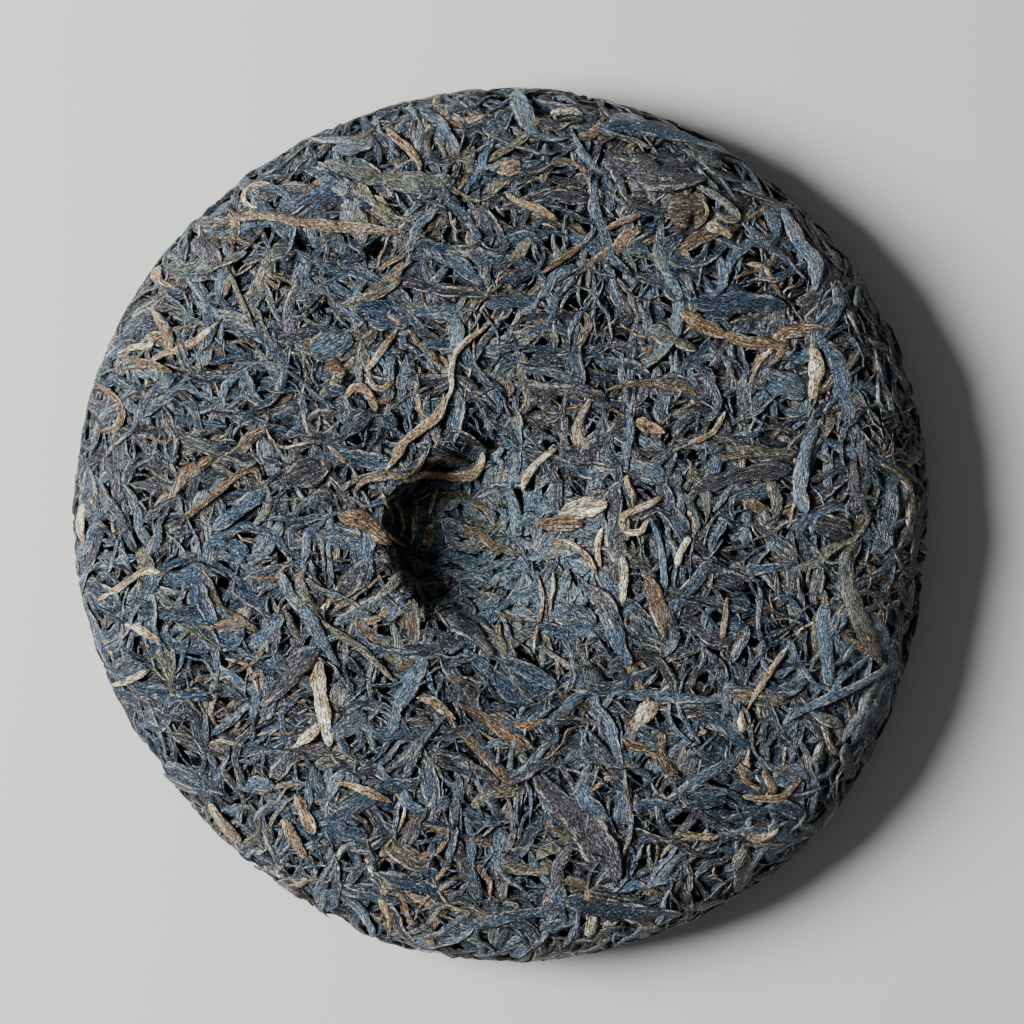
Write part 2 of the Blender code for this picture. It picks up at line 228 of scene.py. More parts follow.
def leaf_material(name):
    """Dried leaf by its tint, mottled, streaked and wrinkled lengthwise, with painted shade and a dull sheen.
    """
    material = bpy.data.materials.new(name)
    material.use_nodes = True
    tree = material.node_tree
    surface = tree.nodes["Principled BSDF"]
    tint, grain, edge, light = (add_node(tree, "ShaderNodeAttribute", attribute_name=attribute)
                                for attribute in ("tint", "grain", "edge", "light"))

    def noise(scale, detail, across, distortion=0.0):
        """Unevenness between 0 and 1 over the leaf's lines or spots, with this many to a millimetre."""
        return out(add_node(tree, "ShaderNodeTexNoise", {
            "Vector": across, "Scale": scale, "Detail": detail, "Roughness": 0.62,
            "Distortion": distortion}), "Fac")

    def spread(value, low, high, least, most):
        """From least where the value is low, evenly to most where it is high, and level beyond."""
        return out(add_node(tree, "ShaderNodeMapRange", {
            "Value": value, "From Min": low, "From Max": high, "To Min": least, "To Max": most}))

    # Lines run far along the leaf, and spots are only a few times as long as wide
    lines = out(grain, "Vector")
    spots = vector(tree, "MULTIPLY", lines, (1.0, 1.0, 6.0))
    broad, stripe = noise(0.5, 3.0, spots), noise(1.1, 2.0, lines, 0.4)
    fibre, speck = noise(STREAKS, 3.0, lines, 0.3), noise(STREAKS * 2.1, 2.0, spots)
    # The shade drifts over each leaf, and less over a pale one
    give_way = less(tree, 0.8, times(tree, out(tint, "Fac"), 0.55))
    drift = times(tree, less(tree, broad, 0.5), give_way)
    ramp = add_node(tree, "ShaderNodeValToRGB", {"Fac": plus(tree, out(tint, "Fac"), drift)})
    while len(ramp.color_ramp.elements) < len(LEAF_SHADES):
        ramp.color_ramp.elements.new(0.5)
    for element, (place, colour) in zip(ramp.color_ramp.elements, LEAF_SHADES):
        element.position = place
        element.color = (*colour, 1)
    # A few streaks and small flecks are worn pale; the sides in places are partly worn, partly a painted
    # highlight
    worn = spread(stripe, 0.60, 0.67, 0.0, WORN_MOST)
    near_side = times(tree, spread(out(edge, "Fac"), 0.12, 0.35, 0.0, 1.0),
                      spread(out(edge, "Fac"), 0.55, 0.8, 1.0, 0.0))
    worn_and_highlit_side = times(tree, near_side, spread(broad, 0.48, 0.57, 0.0, SIDE_MOST))
    fleck = spread(noise(STREAKS * 2.4, 1.0, spots), 0.60, 0.68, 0.0, FLECK_MOST)
    pale = calc(tree, "MAXIMUM", calc(tree, "MAXIMUM", worn, worn_and_highlit_side), fleck)
    streaked = add_node(tree, "ShaderNodeMix", {
        "Factor": pale, "A": out(ramp, "Color"), "B": (*WORN_AND_HIGHLIGHT_SHADE, 1)}, data_type="RGBA")
    # Some leaves are deeply lined, others are smooth and only speckled
    lined = spread(noise(0.02, 0.0, lines), 0.42, 0.62, 0.15, 0.9)
    ridge = calc(tree, "ABSOLUTE", less(tree, fibre, 0.5))
    # The lines' colour is painted shade in each crease and painted light between the creases
    crease_shade_and_light = less(tree, spread(ridge, 0.0, 0.07, 0.15, 1.5), 1.0)
    crease_shade_and_light = plus(tree, 1.0, times(tree, crease_shade_and_light, lined))
    crack = calc(tree, "ABSOLUTE", less(tree, noise(1.2, 2.0, spots, 0.5), 0.5))
    crack = spread(crack, 0.0, 0.035, 0.0, 1.0)
    # Painted shade darkens grooves, cracks, the sides that turn under and what lies deep; specks mottle it
    strength = times(tree, crease_shade_and_light, spread(speck, 0.41, 0.63, 0.27, 1.95))
    # Painted shade in the cracks
    strength = times(tree, strength, spread(crack, 0.0, 1.0, 0.35, 1.1))
    # Painted shade darkens the sides where a leaf turns under, as dark seams between leaves
    strength = times(tree, strength, spread(out(edge, "Fac"), 0.6, 0.95, 1.15, 0.12))
    # Painted shade on leaves that lie deep, and on the body beneath them, from their light
    strength = times(tree, strength, out(light, "Fac"))
    tree.links.new(scaled(tree, out(streaked, "Result"), strength), surface.inputs["Base Color"])
    dull = spread(broad, 0.3, 0.7, ROUGHNESS - ROUGHNESS_SWING, ROUGHNESS + ROUGHNESS_SWING)
    tree.links.new(dull, surface.inputs["Roughness"])
    relief = times(tree, lined, calc(tree, "MINIMUM", times(tree, ridge, 8.0), 1.0))
    relief = plus(tree, plus(tree, relief, speck), times(tree, crack, 0.5))
    bump = add_node(tree, "ShaderNodeBump", {"Height": relief, "Strength": 1.0, "Distance": RELIEF * MM})
    tree.links.new(out(bump), surface.inputs["Normal"])
    surface.inputs["Specular IOR Level"].default_value = SHEEN
    return material


leaf_look = leaf_material("dried_leaf")

# Across, along and up in millimetres, share of the radius, and 1 above or 0 beneath
gx, gy, gz, gr, gup = body_grid()
facing = np.where(gup > 0, 1, -1)
# The body lies this far under the face, and less where the rim rolls over and in the hollow
UNDER_FACE, RIM_LESS, HOLLOW_LESS = 2.1, 0.6, 0.65
ROLL_START, ROLL_LENGTH = 0.8, 0.2  # shares of the radius
HOLLOW_STARTS = 1.2  # the depth at which a place counts as in the hollow
BASE_OFF_TABLE = 0.3
LUMPS, COARSE, FINE = 0.6, 0.6, 0.35
inward = 1 - UNDER_FACE / RADIUS
roll = np.clip((gr - ROLL_START) / ROLL_LENGTH, 0, 1)
flush = np.clip((hollow(gx, gy) - HOLLOW_STARTS) / 2.5, 0, 1) * gup
sink = UNDER_FACE * (facing * (1 - RIM_LESS * roll**2)) * (1 - HOLLOW_LESS * flush)
rough = COARSE * ripple(gx, gy, gz, 5, 3) + FINE * ripple(gx, gy, gz, 2.4, 4)
core_z = np.maximum(gz - sink + facing * rough * LUMPS, BASE_OFF_TABLE)
core = body_mesh("pressed_body", gx * inward, gy * inward, core_z, (0, 0, core_z[0].mean()),
                 (0, 0, BASE_OFF_TABLE))
places = np.empty(len(core.vertices) * 3)
core.vertices.foreach_get("co", places)
places = places.reshape(-1, 3) / MM
DARK_MASS, MASS_SWING, MASS_LIGHT = 0.18, 0.1, 0.5  # its tint, how much that varies, and the share of its colour kept under painted shade
give(core, "tint", DARK_MASS + MASS_SWING * ripple(*places.T, 4, 5))
give(core, "grain", places * (1.0, 0.3, 1.0), "FLOAT_VECTOR")
# Painted shade: the body's colour is halved for the shade deep between the leaves
give(core, "light", np.full(len(core.vertices), MASS_LIGHT))
add_piece("pressed_body", core, leaf_look)

# The face that the leaves lie along
# Every leaf of the surface was pressed against the cloth, so they all follow one smooth, slightly uneven
# face. It is the guide for the leaves and isn't part of the cake.

FACE_LIFT = 0.45  # the leaves' middle level over the pressed body's nominal face
WAVE, WAVE_SIZE = 0.45, 26  # the height and size of its unevenness
lifted = FACE_LIFT * facing
wavy = WAVE * ripple(gx, gy, gz, WAVE_SIZE, 6) * np.clip((gr - 0.3) * 3 + gup, 0, 1)
guide_z = np.maximum(gz + lifted * (1 - roll**3) + np.where(gup > 0, wavy, -np.abs(wavy) * roll), 0.0)
outward = 1 + FACE_LIFT / RADIUS
face = body_mesh("face", gx * outward, gy * outward, guide_z, (0, 0, guide_z[0].mean()), (0, 0, 0))
guide = bpy.data.objects.new("face", face)
bpy.context.scene.collection.objects.link(guide)
in_hollow = np.clip((hollow(gx, gy) - HOLLOW_STARTS) / 2.0, 0, 1)
# Where each kind of leaf lies, by shares of the radius: the zones fade into each other
zones = {
    "upper": np.where(gup > 0, np.clip((0.985 - gr) / 0.02, 0, 1), 0) * (1 - 0.85 * in_hollow),
    "hollow": np.where(gup > 0, in_hollow, 0),
    "rim": np.where(gup > 0, np.clip((gr - 0.9) / 0.06, 0, 1), np.clip((gr - 0.8) / 0.12, 0, 1)),
    "base": np.where(gup > 0, 0, np.clip((0.99 - gr) / 0.04, 0, 1)),
}
for zone, weight in zones.items():
    give(face, zone, np.concatenate([weight.ravel(), [weight[0].mean(), weight[-1].mean()]]))

# The leaves of the surface
# Each is a young leaf that was rolled and dried: a wrinkled strip, thinner than wide, twisted along its
# length. Steam and the stone bent them over each other and pressed their outer sides level.

# Sizes in millimetres, turns in radians, bend in radians a metre; each kind of leaf below sets its own
LEAF_INPUTS = (
    ("Spacing", 3.0), ("Shortest", 12.0), ("Longest", 26.0), ("Narrowest", 0.6), ("Widest", 1.3),
    ("Flatness", 0.55), ("Most twist", 6.0), ("Most bend", 90.0), ("Lowest", -1.6), ("Highest", 0.3),
    ("Tilt", 0.06), ("Level", 0.5), ("Squash", 0.22), ("Wobble", 0.8), ("Turn", 0.0), ("Flow", 14.0),
    ("Stray", 0.55), ("Least tint", 0.0), ("Most tint", 0.98), ("Pale share", 1.0),
)
# How a leaf differs from a straight tube; each pair is the least and what is added to it at most
BLUNTNESS, BLUNTNESS_SWING, THINNEST_END = 4.2, 2.0, 0.16
SWELL, CREASE, FRAY = (0.7, 0.6), (0.2, 1.6), (0.6, 0.8)
SWAYS, WRINKLES, TEARS = 160.0, 170.0, 330.0  # to a metre of leaf
WRINKLES_ROUND, TEARS_ACROSS = 1.5, 0.6
HUMP, PRESSED_CORNER, FLAT_LEAST, FLAT_MORE = 0.9, 0.3, 0.02, 0.25  # in millimetres
# Painted shade on the deepest leaves and painted light on the highest: height over the face, and share of
# their colour
DEEPEST_SHADE, HIGHEST_LIGHT = (-1.5, 0.35), (0.1, 1.1)


def store(tree, geometry, name, value, kind="FLOAT"):
    """Keeps a value with each point under this name."""
    made = add_node(tree, "GeometryNodeStoreNamedAttribute", data_type=kind)
    made.inputs["Name"].default_value = name
    tree.links.new(geometry, made.inputs["Geometry"])
    tree.links.new(value, next(socket for socket in made.inputs if socket.enabled and socket.name == "Value"))
    return made.outputs[0]


def named(tree, name, kind="FLOAT"):
    """Reads what store kept under this name."""
    made = add_node(tree, "GeometryNodeInputNamedAttribute", data_type=kind)
    made.inputs["Name"].default_value = name
    return out(made, "Attribute")


def sway_along(tree, way):
    return out(add_node(tree, "ShaderNodeTexNoise", {"W": way, "Scale": 1.0, "Detail": 1.0},
                        noise_dimensions="1D"), "Fac")


def uneven(tree, where, scale, detail):
    inputs = {"Vector": where, "Scale": scale, "Detail": detail}
    return out(add_node(tree, "ShaderNodeTexNoise", inputs), "Fac")


def combined(tree, x, y, z):
    return out(add_node(tree, "ShaderNodeCombineXYZ", {"X": x, "Y": y, "Z": z}))


def shape_leaf(tree, geometry, heading, normal, spot, at):
    """Moves the points of straight tubes so that each tube becomes a leaf along its middle line."""
    along, length, size = at["along"], at["length"], at["half width"]
    seed = at["seed"]
    run = times(tree, along, length)

    def between(pair, share):
        return plus(tree, pair[0], times(tree, share, pair[1]))

    blunt = plus(tree, BLUNTNESS, times(tree, calc(tree, "SINE", seed), BLUNTNESS_SWING))
    ends = calc(tree, "POWER", calc(tree, "ABSOLUTE", times(tree, along, 2.0)), blunt)
    taper = calc(tree, "MAXIMUM", calc(tree, "SQRT", less(tree, 1.0, ends)), THINNEST_END)
    sway = sway_along(tree, plus(tree, times(tree, run, SWAYS), seed))
    wide = times(tree, times(tree, size, taper), between(SWELL, sway))
    thick = times(tree, wide, at["flatness"])
    round_leaf = combined(tree, plus(tree, times(tree, at["ring x"], WRINKLES_ROUND), seed),
                          times(tree, at["ring y"], WRINKLES_ROUND), times(tree, run, WRINKLES))
    crease = between(CREASE, uneven(tree, round_leaf, 1.3, 2.0))
    along_side = combined(tree, times(tree, at["ring x"], TEARS_ACROSS), seed, times(tree, run, TEARS))
    fray = between(FRAY, uneven(tree, along_side, 1.0, 2.0))
    x = times(tree, times(tree, at["ring x"], wide), fray)
    # A rolled leaf has a gutter or a ridge along its middle
    gutter = times(tree, times(tree, at["gutter"], wide),
                   less(tree, calc(tree, "POWER", at["ring x"], 2.0), 0.5))
    y = plus(tree, times(tree, times(tree, at["ring y"], thick), crease), gutter)
    turn = plus(tree, at["phase"], times(tree, at["twist"], along))
    cos, sin = calc(tree, "COSINE", turn), calc(tree, "SINE", turn)
    across = less(tree, times(tree, x, cos), times(tree, y, sin))
    up = plus(tree, times(tree, x, sin), times(tree, y, cos))
    rise = plus(tree, times(tree, at["tilt"], run), at["lift"])
    hump = times(tree, less(tree, sway, 0.5), HUMP * MM)
    height = plus(tree, plus(tree, up, rise), hump)
    # What stands over the common level is squashed down to it
    over = less(tree, height, at["level"])
    eased = plus(tree, at["level"], times(tree, over, at["squash"]))
    pressed = calc(tree, "SMOOTH_MIN", height, eased, PRESSED_CORNER * MM)
    side = vector(tree, "NORMALIZE", vector(tree, "CROSS_PRODUCT", normal, heading))
    off_line = vector(tree, "ADD", scaled(tree, side, across), scaled(tree, normal, pressed))
    place = vector(tree, "ADD", spot, off_line)
    # What would reach under the table is pressed flat, each leaf at its own height
    flat = plus(tree, times(tree, calc(tree, "FRACT", seed), FLAT_MORE * MM), FLAT_LEAST * MM)
    place = vector(tree, "MAXIMUM", place, combined(tree, -1.0, -1.0, flat))
    moved = add_node(tree, "GeometryNodeSetPosition", {"Geometry": geometry, "Position": place})
    # The material's grain counts millimetres across the leaf and runs far along it
    grain = combined(tree, plus(tree, times(tree, x, 1 / MM), times(tree, seed, 7.0)),
                     times(tree, y, 1 / MM), plus(tree, times(tree, run, 60.0), seed))
    kept = store(tree, moved.outputs[0], "grain", grain, "FLOAT_VECTOR")
    kept = store(tree, kept, "edge", calc(tree, "POWER", calc(tree, "ABSOLUTE", at["ring x"]), 6.0))
    # Leaves that lie deeper are darker with painted shade, and the highest a little lighter with painted
    # light
    depth_shade = add_node(tree, "ShaderNodeMapRange", {
        "Value": at["lift"], "From Min": DEEPEST_SHADE[0] * MM, "From Max": HIGHEST_LIGHT[0] * MM,
        "To Min": DEEPEST_SHADE[1], "To Max": HIGHEST_LIGHT[1]})
    kept = store(tree, kept, "light", out(depth_shade))
    kept = store(tree, kept, "tint", at["tint"])
    smooth = add_node(tree, "GeometryNodeSetShadeSmooth", {"Geometry": kept})
    return smooth.outputs[0]


def tree_with_inputs(name, sizes):
    """A tree with an input for each size, and for what both kinds of leaf need."""
    tree = bpy.data.node_groups.new(name, "GeometryNodeTree")
    tree.interface.new_socket("Geometry", in_out="INPUT", socket_type="NodeSocketGeometry")
    tree.interface.new_socket("Geometry", in_out="OUTPUT", socket_type="NodeSocketGeometry")
    for label, value in sizes:
        tree.interface.new_socket(label, in_out="INPUT", socket_type="NodeSocketFloat").default_value = value
    for label, kind in (("Seed", "Int"), ("Around", "Int"), ("Sections", "Int"), ("Zone", "String"),
                        ("Material", "Material")):
        tree.interface.new_socket(label, in_out="INPUT", socket_type="NodeSocket" + kind)
    return tree, tree.nodes.new("NodeGroupInput"), tree.nodes.new("NodeGroupOutput")


def scatter_tree():
    """Leaves strewn over the face, lying along it."""
    tree, given, result = tree_with_inputs("pressed_leaves", LEAF_INPUTS)
    given = {socket.name: socket for socket in given.outputs if socket.name}

    def mm(label):
        return times(tree, given[label], MM)

    zone = add_node(tree, "GeometryNodeInputNamedAttribute", data_type="FLOAT")
    tree.links.new(given["Zone"], zone.inputs["Name"])
    strewn = add_node(tree, "GeometryNodeDistributePointsOnFaces", {
        "Mesh": given["Geometry"], "Distance Min": mm("Spacing"), "Density Max": 900000.0,
        "Density Factor": out(zone, "Attribute"), "Seed": given["Seed"]}, distribute_method="POISSON")
    points = strewn.outputs["Points"]

    def chance(low, high, number):
        """A draw for each leaf; draws with other numbers don't depend on it."""
        seed = plus(tree, times(tree, given["Seed"], 37.0), float(number))
        return out(add_node(tree, "FunctionNodeRandomValue", {"Min": low, "Max": high, "Seed": seed},
                            data_type="FLOAT"))

    here = out(add_node(tree, "GeometryNodeInputPosition"))
    away = strewn.outputs["Normal"]
    # Neighbours lie roughly the same way, which swirls slowly over the cake, and each strays from it
    around = vector(tree, "NORMALIZE", vector(tree, "CROSS_PRODUCT", (0, 0, 1), here))
    stray = chance(times(tree, given["Stray"], -1.0), given["Stray"], 1)
    swirl = times(tree, given["Flow"], less(tree, uneven(tree, here, 55.0, 0.0), 0.5))
    spin = plus(tree, plus(tree, given["Turn"], swirl), stray)
    heading = out(add_node(tree, "ShaderNodeVectorRotate", {"Vector": around, "Axis": away, "Angle": spin},
                           rotation_type="AXIS_ANGLE"))
    # Short, narrow and straight leaves are the most common
    long = calc(tree, "POWER", chance(0.0, 1.0, 2), 1.6)
    broad = calc(tree, "POWER", chance(0.0, 1.0, 3), 1.4)
    curl = chance(-1.0, 1.0, 7)
    curl = times(tree, curl, calc(tree, "ABSOLUTE", curl))
    longer = less(tree, mm("Longest"), mm("Shortest"))
    broader = less(tree, mm("Widest"), mm("Narrowest"))
    per_leaf = {
        "length": plus(tree, mm("Shortest"), times(tree, long, longer)),
        "half width": plus(tree, mm("Narrowest"), times(tree, broad, broader)),
        "flatness": times(tree, given["Flatness"], chance(0.7, 1.3, 4)),
        "twist": chance(times(tree, given["Most twist"], -1.0), given["Most twist"], 5),
        "phase": chance(-0.7, 0.7, 6),
        "bend": times(tree, given["Most bend"], curl),
        "lift": chance(mm("Lowest"), mm("Highest"), 8),
        "tilt": chance(times(tree, given["Tilt"], -1.0), given["Tilt"], 9),
        "tint": calc(tree, "POWER", chance(given["Least tint"], given["Most tint"], 10), given["Pale share"]),
        "seed": chance(0.0, 500.0, 11),
        "gutter": chance(-0.5, 0.5, 12),
    }
    for name, value in per_leaf.items():
        points = store(tree, points, name, value)
    points = store(tree, points, "middle", here, "FLOAT_VECTOR")
    points = store(tree, points, "heading", heading, "FLOAT_VECTOR")
    points = store(tree, points, "out of face", away, "FLOAT_VECTOR")
    tube = add_node(tree, "GeometryNodeMeshCylinder", {
        "Vertices": given["Around"], "Side Segments": given["Sections"], "Radius": 1.0, "Depth": 1.0},
        fill_type="NGON")
    parts = add_node(tree, "ShaderNodeSeparateXYZ", {"Vector": here})
    straight = tube.outputs["Mesh"]
    for name, axis in (("ring x", "X"), ("ring y", "Y"), ("along", "Z")):
        straight = store(tree, straight, name, out(parts, axis))
    placed = add_node(tree, "GeometryNodeInstanceOnPoints", {"Points": points, "Instance": straight})
    loose = add_node(tree, "GeometryNodeRealizeInstances", {"Geometry": placed.outputs[0]})
    at = {name: named(tree, name) for name in [*per_leaf, "ring x", "ring y", "along"]}
    at["level"], at["squash"] = mm("Level"), given["Squash"]
    middle, ahead = named(tree, "middle", "FLOAT_VECTOR"), named(tree, "heading", "FLOAT_VECTOR")
    beside = vector(tree, "CROSS_PRODUCT", named(tree, "out of face", "FLOAT_VECTOR"), ahead)
    # A leaf's middle line is an arc that wavers; this little curve keeps the divisions from failing
    least_curve, wavers, step = 0.5, 130.0, 0.5 * MM
    run = times(tree, at["along"], at["length"])
    curve = plus(tree, at["bend"], least_curve)
    swing = times(tree, curve, run)
    reach = calc(tree, "DIVIDE", calc(tree, "SINE", swing), curve)
    bow = calc(tree, "DIVIDE", less(tree, 1.0, calc(tree, "COSINE", swing)), curve)

    def waver(further):
        """How far a leaf has strayed sideways from its arc, this far along it."""
        at_run = times(tree, plus(tree, run, further), wavers)
        noise = sway_along(tree, plus(tree, at_run, times(tree, at["seed"], 3.0)))
        return times(tree, less(tree, noise, 0.5), times(tree, mm("Wobble"), 4.0))

    strayed = waver(0.0)
    sideways = calc(tree, "DIVIDE", less(tree, waver(step), strayed), step)
    bow = plus(tree, bow, strayed)
    off_middle = vector(tree, "ADD", scaled(tree, ahead, reach), scaled(tree, beside, bow))
    line = vector(tree, "ADD", middle, off_middle)
    onward = scaled(tree, ahead, calc(tree, "COSINE", swing))
    sideways = scaled(tree, beside, plus(tree, calc(tree, "SINE", swing), sideways))
    way = vector(tree, "NORMALIZE", vector(tree, "ADD", onward, sideways))

    def nearest(value):
        """What the face has where it is nearest to the line."""
        return out(add_node(tree, "GeometryNodeSampleNearestSurface", {
            "Mesh": given["Geometry"], "Value": value, "Sample Position": line},
            data_type="FLOAT_VECTOR"), "Value")

    outwards = vector(tree, "NORMALIZE", nearest(out(add_node(tree, "GeometryNodeInputNormal"))))
    shaped = shape_leaf(tree, loose.outputs[0], way, outwards, nearest(here), at)
    finished = add_node(tree, "GeometryNodeSetMaterial", {"Geometry": shaped, "Material": given["Material"]})
    tree.links.new(finished.outputs[0], result.inputs[0])
    return tree


# What the trees and the face keep with the points for their own use
WORKING = ("length", "half width", "flatness", "twist", "phase", "bend", "lift", "tilt", "seed", "gutter",
           "middle", "heading", "out of face", "ring x", "ring y", "along", "stiffness", "spot", *zones)


def leaves_from(carrier, name, tree, wanted):
    """Adds the piece that this tree makes of the carrier with these inputs, as a plain mesh."""
    modifier = carrier.modifiers.new(name, "NODES")
    modifier.node_group = tree
    for item in tree.interface.items_tree:
        if item.item_type == "SOCKET" and item.in_out == "INPUT" and item.name in wanted:
            modifier[item.identifier] = wanted[item.name]
    bpy.context.view_layer.update()
    graph = bpy.context.evaluated_depsgraph_get()
    mesh = bpy.data.meshes.new_from_object(carrier.evaluated_get(graph))
    carrier.modifiers.remove(modifier)
    for working in WORKING:
        if working in mesh.attributes:
            mesh.attributes.remove(mesh.attributes[working])
    add_piece(name, mesh, leaf_look)


pressed_leaves = scatter_tree()


def strew(name, zone, seed, around, sections, **sizes):
    """One kind of leaf over one zone of the face."""
    wanted = {key.replace("_", " ").capitalize(): value for key, value in sizes.items()}
    wanted |= {"Seed": seed, "Around": around, "Sections": sections, "Zone": zone, "Material": leaf_look}
    leaves_from(guide, name, pressed_leaves, wanted)


strew("upper_long_leaves", "upper", 1, 8, 11, Spacing=5.0, Shortest=12.0, Longest=32.0, Narrowest=0.6,
      Widest=1.9, Flatness=0.45, Lowest=-1.2, Highest=0.5, Most_twist=4.0, Most_bend=150.0, Pale_share=1.1)
strew("upper_short_leaves", "upper", 2, 7, 8, Spacing=4.1, Shortest=7.0, Longest=19.0, Narrowest=0.5,
      Widest=1.6, Flatness=0.5, Lowest=-1.7, Highest=0.3, Most_twist=4.0, Most_bend=240.0, Pale_share=1.1)
strew("upper_strands", "upper", 9, 5, 11, Spacing=6.0, Shortest=10.0, Longest=28.0, Narrowest=0.25,
      Widest=0.5, Flatness=0.8, Lowest=-0.4, Highest=0.5, Most_twist=2.0, Most_bend=200.0, Wobble=1.2)
strew("upper_broad_leaves", "upper", 3, 12, 12, Spacing=7.2, Shortest=10.0, Longest=23.0, Narrowest=1.7,
      Widest=3.0, Flatness=0.22, Most_twist=1.0, Most_bend=70.0, Lowest=-1.1, Highest=0.25, Most_tint=0.87)
strew("hollow_leaves", "hollow", 7, 8, 9, Spacing=2.9, Shortest=5.0, Longest=16.0, Narrowest=0.7,
      Widest=2.6, Flatness=0.16, Most_twist=0.4, Most_bend=80.0, Lowest=-0.15, Highest=0.1, Level=0.05,
      Squash=0.06, Tilt=0.02, Wobble=0.5, Turn=math.pi / 2, Flow=7.0, Least_tint=0.66, Most_tint=0.80)
strew("hollow_threads", "hollow", 8, 5, 8, Spacing=3.2, Shortest=5.0, Longest=16.0, Narrowest=0.12,
      Widest=0.3, Flatness=0.7, Most_twist=1.0, Most_bend=90.0, Lowest=-0.1, Highest=0.1, Level=0.1,
      Squash=0.1, Tilt=0.0, Wobble=0.5, Turn=math.pi / 2, Flow=4.0, Stray=0.5, Least_tint=0.45,
      Most_tint=0.86)
strew("rim_leaves", "rim", 4, 7, 8, Spacing=3.9, Shortest=10.0, Longest=28.0, Narrowest=0.7, Widest=1.8,
      Flatness=0.45, Lowest=-1.6, Highest=0.1, Most_bend=60.0, Flow=4.0, Stray=0.4, Least_tint=0.2,
      Most_tint=0.93, Pale_share=2.2)
strew("base_leaves", "base", 5, 6, 7, Spacing=4.5, Shortest=9.0, Longest=28.0, Narrowest=1.0, Widest=2.8,
      Flatness=0.33, Lowest=-1.3, Highest=0.1, Most_bend=100.0, Level=0.25, Pale_share=1.2)
strew("crumbs", "upper", 6, 5, 3, Spacing=3.9, Shortest=2.0, Longest=6.0, Narrowest=0.35, Widest=0.8,
      Lowest=-1.4, Highest=0.2, Most_bend=100.0)

# The leaves and stalks that stand out
# About a hundred long stalks, pale buds and broad leaves lie on top of the rest. Each was picked with the
# others and is pressed in at its own place; the stalks are stiffer and bridge the hollow's edge.

PICTURE = 1024  # side in pixels of the picture that their places were measured in
PIXEL = 0.2303  # millimetres a pixel there, at the height of the widest line
PICTURE_CAKE = (505.4, 523.3)  # the outline's middle there
EYE_HEIGHT = 850.0
EYE = Vector(((PICTURE / 2 - PICTURE_CAKE[0]) * PIXEL + MIDDLE.x,
              (PICTURE_CAKE[1] - PICTURE / 2) * PIXEL + MIDDLE.y, EYE_HEIGHT))  # where it is seen from
PURPLE, DARK, SLATE, GREY, OLIVE = 0.02, 0.2, 0.5, 0.71, 0.83
BROWN, ORANGE, TAN, CREAM = 0.91, 0.95, 0.97, 0.99
